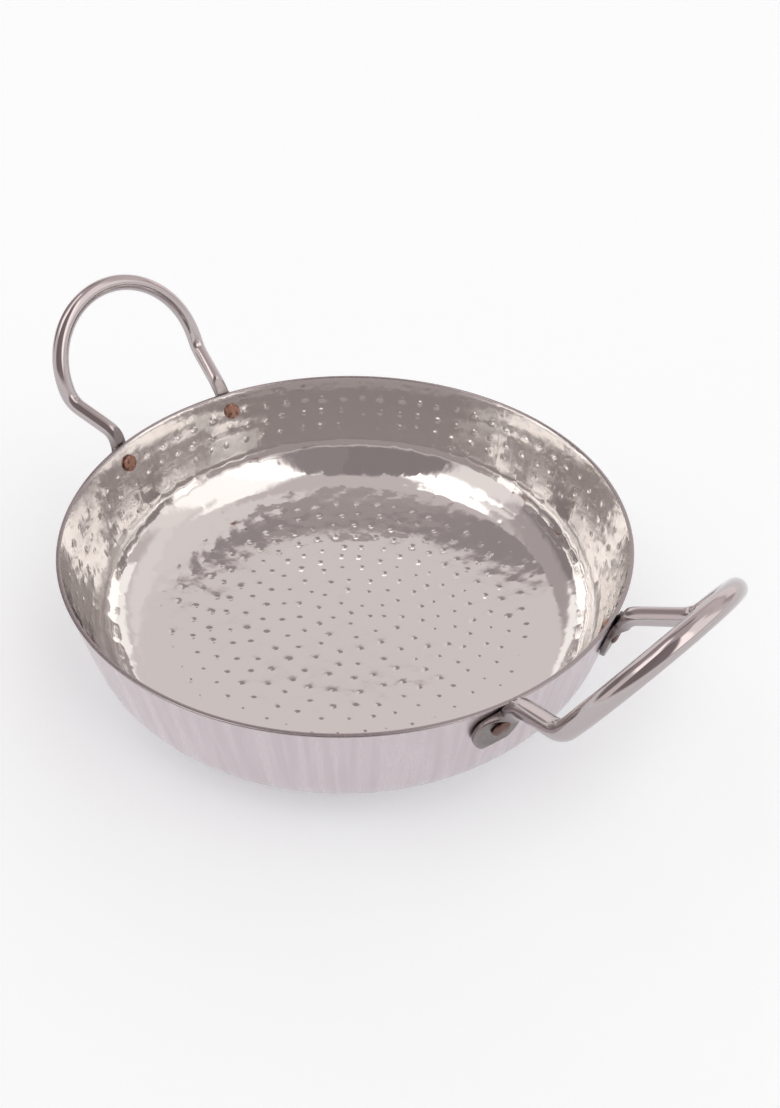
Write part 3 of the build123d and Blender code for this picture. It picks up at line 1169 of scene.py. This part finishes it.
def grow(height, scale, level):
    """Extrudes the picked face by a height and scales it about the axis."""
    bpy.ops.mesh.extrude_region_move(TRANSFORM_OT_translate={"value": (0, 0, height)})
    bpy.ops.transform.resize(value=(scale, scale, 1), center_override=(0, 0, level + height))


def grow_head(piece, seat, rows, radius):
    """Grows a head on the end face at the seat, one row for each rise and radius."""
    pick_end(piece, seat)
    level = seat
    for rise, row_radius in rows:
        grow(rise, row_radius / radius, level)
        level += rise
        radius = row_radius


# %% [markdown]
# The rivet starts as a cylinder for the shank. Each head is a table of steps: how far the face rises, as a
# share of the head's height, and how wide it gets, as a share of the head's radius. Subdivision Surface
# then rounds the steps into a flat head with a soft edge, and into a low dome.

# %% Model one rivet
shank_sides = 24
inner_head_shares = ((0, 0.93), (-0.1, 1.0), (-0.6, 1.0), (-0.22, 0.94), (-0.08, 0.8), (0, 0.45),
                     (0, 0.15))
outer_head_shares = ((0, 0.94), (0.14, 1.0), (0.3, 1.0), (0.3, 0.86), (0.18, 0.62), (0.08, 0.35),
                     (0, 0.12))
bpy.ops.object.select_all(action="DESELECT")
bpy.ops.mesh.primitive_cylinder_add(vertices=shank_sides, radius=shank_radius,
                                    depth=outer_seat - inner_seat,
                                    location=(0, 0, (outer_seat + inner_seat) / 2))
rivet = bpy.context.object
rivet.data.transform(Matrix.Translation(rivet.location))
rivet.location = (0, 0, 0)
bpy.ops.object.mode_set(mode="EDIT")
bpy.ops.mesh.select_mode(type="FACE")
grow_head(rivet, inner_seat, [(rise * inner_head_thickness, share * inner_head_radius)
                              for rise, share in inner_head_shares], shank_radius)
grow_head(rivet, outer_seat, [(rise * outer_head_height, share * outer_head_radius)
                              for rise, share in outer_head_shares], shank_radius)
bpy.ops.object.mode_set(mode="OBJECT")
use_modifier(rivet, "SUBSURF", levels=2, render_levels=2)
point_outwards(rivet)
print("the rivet has", count_open_points(rivet), "points on an open edge")

# %% [markdown]
# Four rivets are needed. Each copy gets its own mesh, so that the hammer can leave other marks on every
# head. A little noise, read at a different spot for each copy, moves the points of the heads. It is
# lowered by half, so that the marks mostly press in and the heads hardly grow.

# %% Set the four rivets
mark_depth = 0.12 * mm
mark_width = 2.2 * mm
mark_lowering = 0.5
head_crease_angle = radians(50)
toward_back = {"left_handle": -ear_azimuth, "right_handle": ear_azimuth}
for node, azimuth in handle_azimuths.items():
    for place_name, sign in (("back", 1), ("front", -1)):
        rivet_name = node.replace("handle", place_name + "_rivet")
        copy = bpy.data.objects.new("set_" + rivet_name, rivet.data.copy())
        bpy.context.scene.collection.objects.link(copy)
        copy.data.transform(wall_frame(azimuth + sign * toward_back[node]))
        for point in copy.data.vertices:
            point.co += point.normal * mark_depth * (noise.noise(point.co / mark_width) - mark_lowering)
        copy.data.materials.append(rivet_copper)
        pick_only(copy)
        bpy.ops.object.shade_smooth_by_angle(angle=head_crease_angle)
        hand_over(copy, rivet_name)
bpy.data.objects.remove(rivet)

# %% [markdown]
# ## The floor
# The floor is a large pale sheet. It is a little cool, because the light of the room is a little warm, and
# the two together come out white. To the camera, and in reflections, the sheet also glows, so that it is
# white where no shadow falls on it. The glow doesn't light the pan, and the shadow stays.

# %% Lay the floor
floor_size = 12
floor_tint = (0.86, 0.925, 0.947)
floor_glow = 0.24
bpy.ops.object.select_all(action="DESELECT")
bpy.ops.mesh.primitive_plane_add(size=floor_size)
floor = bpy.context.object
floor.name = "floor"
floor_white = bpy.data.materials.new("floor_white")
floor_white.use_nodes = True
tree = floor_white.node_tree
shader = tree.nodes["Principled BSDF"]
shader.inputs["Base Color"].default_value = (*floor_tint, 1)
shader.inputs["Roughness"].default_value = 1.0
shader.inputs["Specular IOR Level"].default_value = 0
shader.inputs["Emission Color"].default_value = (1, 1, 1, 1)
rays = tree.nodes.new("ShaderNodeLightPath")
seen = calculate(tree, "MAXIMUM", rays.outputs["Is Camera Ray"], rays.outputs["Is Glossy Ray"])
seen = calculate(tree, "MAXIMUM", seen, rays.outputs["Is Transmission Ray"])
tree.links.new(calculate(tree, "MULTIPLY", seen, floor_glow), shader.inputs["Emission Strength"])
floor.data.materials.append(floor_white)
print(floor.name, "glows with a strength of", floor_glow)

# %% [markdown]
# ## The studio
# Polished metal looks like whatever stands around it, so here the studio matters as much as the steel.
# Seen from the pan there is a large soft light on either side, one more above on the left, a pale sheet
# behind, a grey ceiling and a dark room around the camera. We paint these patches on the world: two
# angles say where a ray goes, and each patch is a soft-edged block of those angles.

# %% Find the two angles of a ray
world = bpy.data.worlds.new("studio")
bpy.context.scene.world = world
world.use_nodes = True
tree = world.node_tree
background = tree.nodes["Background"]
away_from_camera = camera_azimuth + pi
turned = tree.nodes.new("ShaderNodeVectorRotate")
turned.rotation_type = "Z_AXIS"
turned.inputs["Angle"].default_value = pi / 2 - away_from_camera
tree.links.new(tree.nodes.new("ShaderNodeTexCoord").outputs["Generated"], turned.inputs["Vector"])
split = tree.nodes.new("ShaderNodeSeparateXYZ")
tree.links.new(turned.outputs["Vector"], split.inputs["Vector"])
sideways = calculate(tree, "ARCTAN2", split.outputs["X"], split.outputs["Y"])
to_the_right = calculate(tree, "DEGREES", sideways)
above = calculate(tree, "DEGREES", calculate(tree, "ARCSINE", split.outputs["Z"]))
print("the camera looks towards", round(away_from_camera * 180 / pi, 1), "degrees")

# %% [markdown]
# A patch is a mask with four soft edges. Where the mask is 1 the patch's own level shows, and where it is 0
# all that was painted before stays.


# %% Paint one patch
def paint_patch(below, level, start, end, low, high, softness):
    """Covers what is below with one patch."""
    left = between(tree, to_the_right, start - softness, start + softness, 0, 1)
    right = between(tree, to_the_right, end - softness, end + softness, 1, 0)
    bottom = between(tree, above, low - softness, low + softness, 0, 1)
    top = between(tree, above, high - softness, high + softness, 1, 0)
    mask = calculate(tree, "MULTIPLY", left, right)
    mask = calculate(tree, "MULTIPLY", mask, bottom)
    mask = calculate(tree, "MULTIPLY", mask, top)
    change = calculate(tree, "SUBTRACT", level, below)
    return calculate(tree, "MULTIPLY_ADD", change, mask, below)


# %% [markdown]
# Each patch below has a brightness, then where it starts and ends sideways, with 0 straight behind the
# pan and 90 to its right, then where it starts and ends in height, and how soft its edges are. A later
# patch covers an earlier one. Under them all lies the white sheet, which gives way to the grey ceiling
# just above the horizon.

# %% Paint the studio
ceiling_grey = 0.62
sheet_end = (2, 14)
studio_patches = (
    (0.74, -22, 14, 28, 48, 3),
    (0.86, 14, 92, 30, 66, 5),
    (0.80, 5.5, 80, 47.5, 66, 2),
    (0.44, -80, -20, 28, 54, 4),
    (0.32, -28, 5.5, 47.5, 59, 1.2),
    (0.27, -88, -44, 6, 30, 5),
    (0.60, 58, 78, 12, 30, 6),
    (0.90, 74, 98, 8, 44, 5),
    (1.15, -40, 58, 6, 27, 2),
    (0.74, -14, 20, 19, 30, 2),
    (0.95, -128, -92, 8, 46, 4),
    (0.95, -92, -66, 49, 62, 3),
    (1.90, -128, -84, 44, 72, 4),
    (1.90, -92, -40, 61, 74, 3),
    (1.35, 90, 128, 13, 73, 5),
    (1.35, 66, 94, 56, 73, 4),
    (1.90, 124, 145, 15, 72, 4),
    (0.30, 149, 200, 12, 82, 3),
    (0.27, -200, -129, 12, 82, 3),
)
studio = between(tree, above, *sheet_end, 1.0, ceiling_grey)
for patch in studio_patches:
    studio = paint_patch(studio, *patch)
print("the studio has", len(studio_patches), "patches")

# %% [markdown]
# A ray may bounce from wall to wall inside the pan before it leaves. A real wall is never quite the cone
# that we model, and each bounce makes the error larger, so one set of patches can't be right for all
# rays. The rays that have bounced at least twice get a second set. Ray Depth is one more than the number
# of bounces, so it is larger than 2.5 for them.

# %% Paint what many bounces show
deep_grey = 0.52
second_bounce = 2.5
deep_patches = (
    (1.05, -116, -74, 28, 49, 4),
    (0.80, 92, 120, 34, 46, 4),
    (0.35, 147, 200, 6, 31, 3),
    (0.35, -200, -147, 6, 31, 3),
    (2.10, 124, 146, 6, 31, 3),
    (2.10, -146, -122, 6, 31, 3),
    (1.90, 125, 137, 22, 38, 3),
    (2.10, 156, 186, 24, 32, 3),
    (1.90, -160, -143, 25, 32, 3),
    (2.10, 140, 200, 43, 54, 2),
    (2.10, -200, -135, 43, 54, 2),
    (1.15, 116, 140, 43, 56, 3),
    (1.30, -135, -114, 43, 56, 3),
    (2.40, -113, -90, 37, 49, 3),
)
deep_studio = between(tree, above, *sheet_end, 1.0, deep_grey)
for patch in deep_patches:
    deep_studio = paint_patch(deep_studio, *patch)
rays = tree.nodes.new("ShaderNodeLightPath")
bounced_twice = calculate(tree, "GREATER_THAN", rays.outputs["Ray Depth"], second_bounce)
change = calculate(tree, "SUBTRACT", deep_studio, studio)
studio = calculate(tree, "MULTIPLY_ADD", change, bounced_twice, studio)
print("rays with many bounces see", len(deep_patches), "patches")

# %% [markdown]
# The levels are only grey so far. The dark parts of the room are a little redder than the lamps, so the
# level itself picks the tint, which is then scaled by it.

# %% Tint the studio
dark_level = 0.2
lamp_level = 1.2
room_tint = tree.nodes.new("ShaderNodeMix")
room_tint.data_type = "RGBA"
room_tint.inputs["A"].default_value = (1.1, 0.94, 0.95, 1)
room_tint.inputs["B"].default_value = (1.02, 0.965, 0.94, 1)
lamp_share = between(tree, studio, dark_level, lamp_level, 0, 1)
tree.links.new(lamp_share, room_tint.inputs["Factor"])
tinted = tree.nodes.new("ShaderNodeVectorMath")
tinted.operation = "SCALE"
tree.links.new(room_tint.outputs["Result"], tinted.inputs["Vector"])
tree.links.new(studio, tinted.inputs["Scale"])
print("the tint follows levels from", dark_level, "to", lamp_level)

# %% [markdown]
# Behind the pan the camera sees plain white, and so do reflections close to the horizon. The polished
# walls mirror each other, so light may bounce eight times: with fewer bounces, the places that are seen
# through many of them would stay black. The Standard view shows white as white.

# %% Light the world
white_end = (2, 8)
bounce_limit = 8
in_reflection = calculate(tree, "MAXIMUM", rays.outputs["Is Glossy Ray"],
                          rays.outputs["Is Transmission Ray"])
near_horizon = between(tree, above, *white_end, 1, 0)
white = calculate(tree, "MAXIMUM", rays.outputs["Is Camera Ray"],
                  calculate(tree, "MULTIPLY", in_reflection, near_horizon))
mix = tree.nodes.new("ShaderNodeMix")
mix.data_type = "RGBA"
tree.links.new(white, mix.inputs["Factor"])
tree.links.new(tinted.outputs["Vector"], mix.inputs["A"])
mix.inputs["B"].default_value = (1, 1, 1, 1)
tree.links.new(mix.outputs["Result"], background.inputs["Color"])
background.inputs["Strength"].default_value = 1.0
bpy.context.scene.view_settings.view_transform = "Standard"
bpy.context.scene.cycles.glossy_bounces = bounce_limit
print("the world is made of", len(tree.nodes), "nodes")
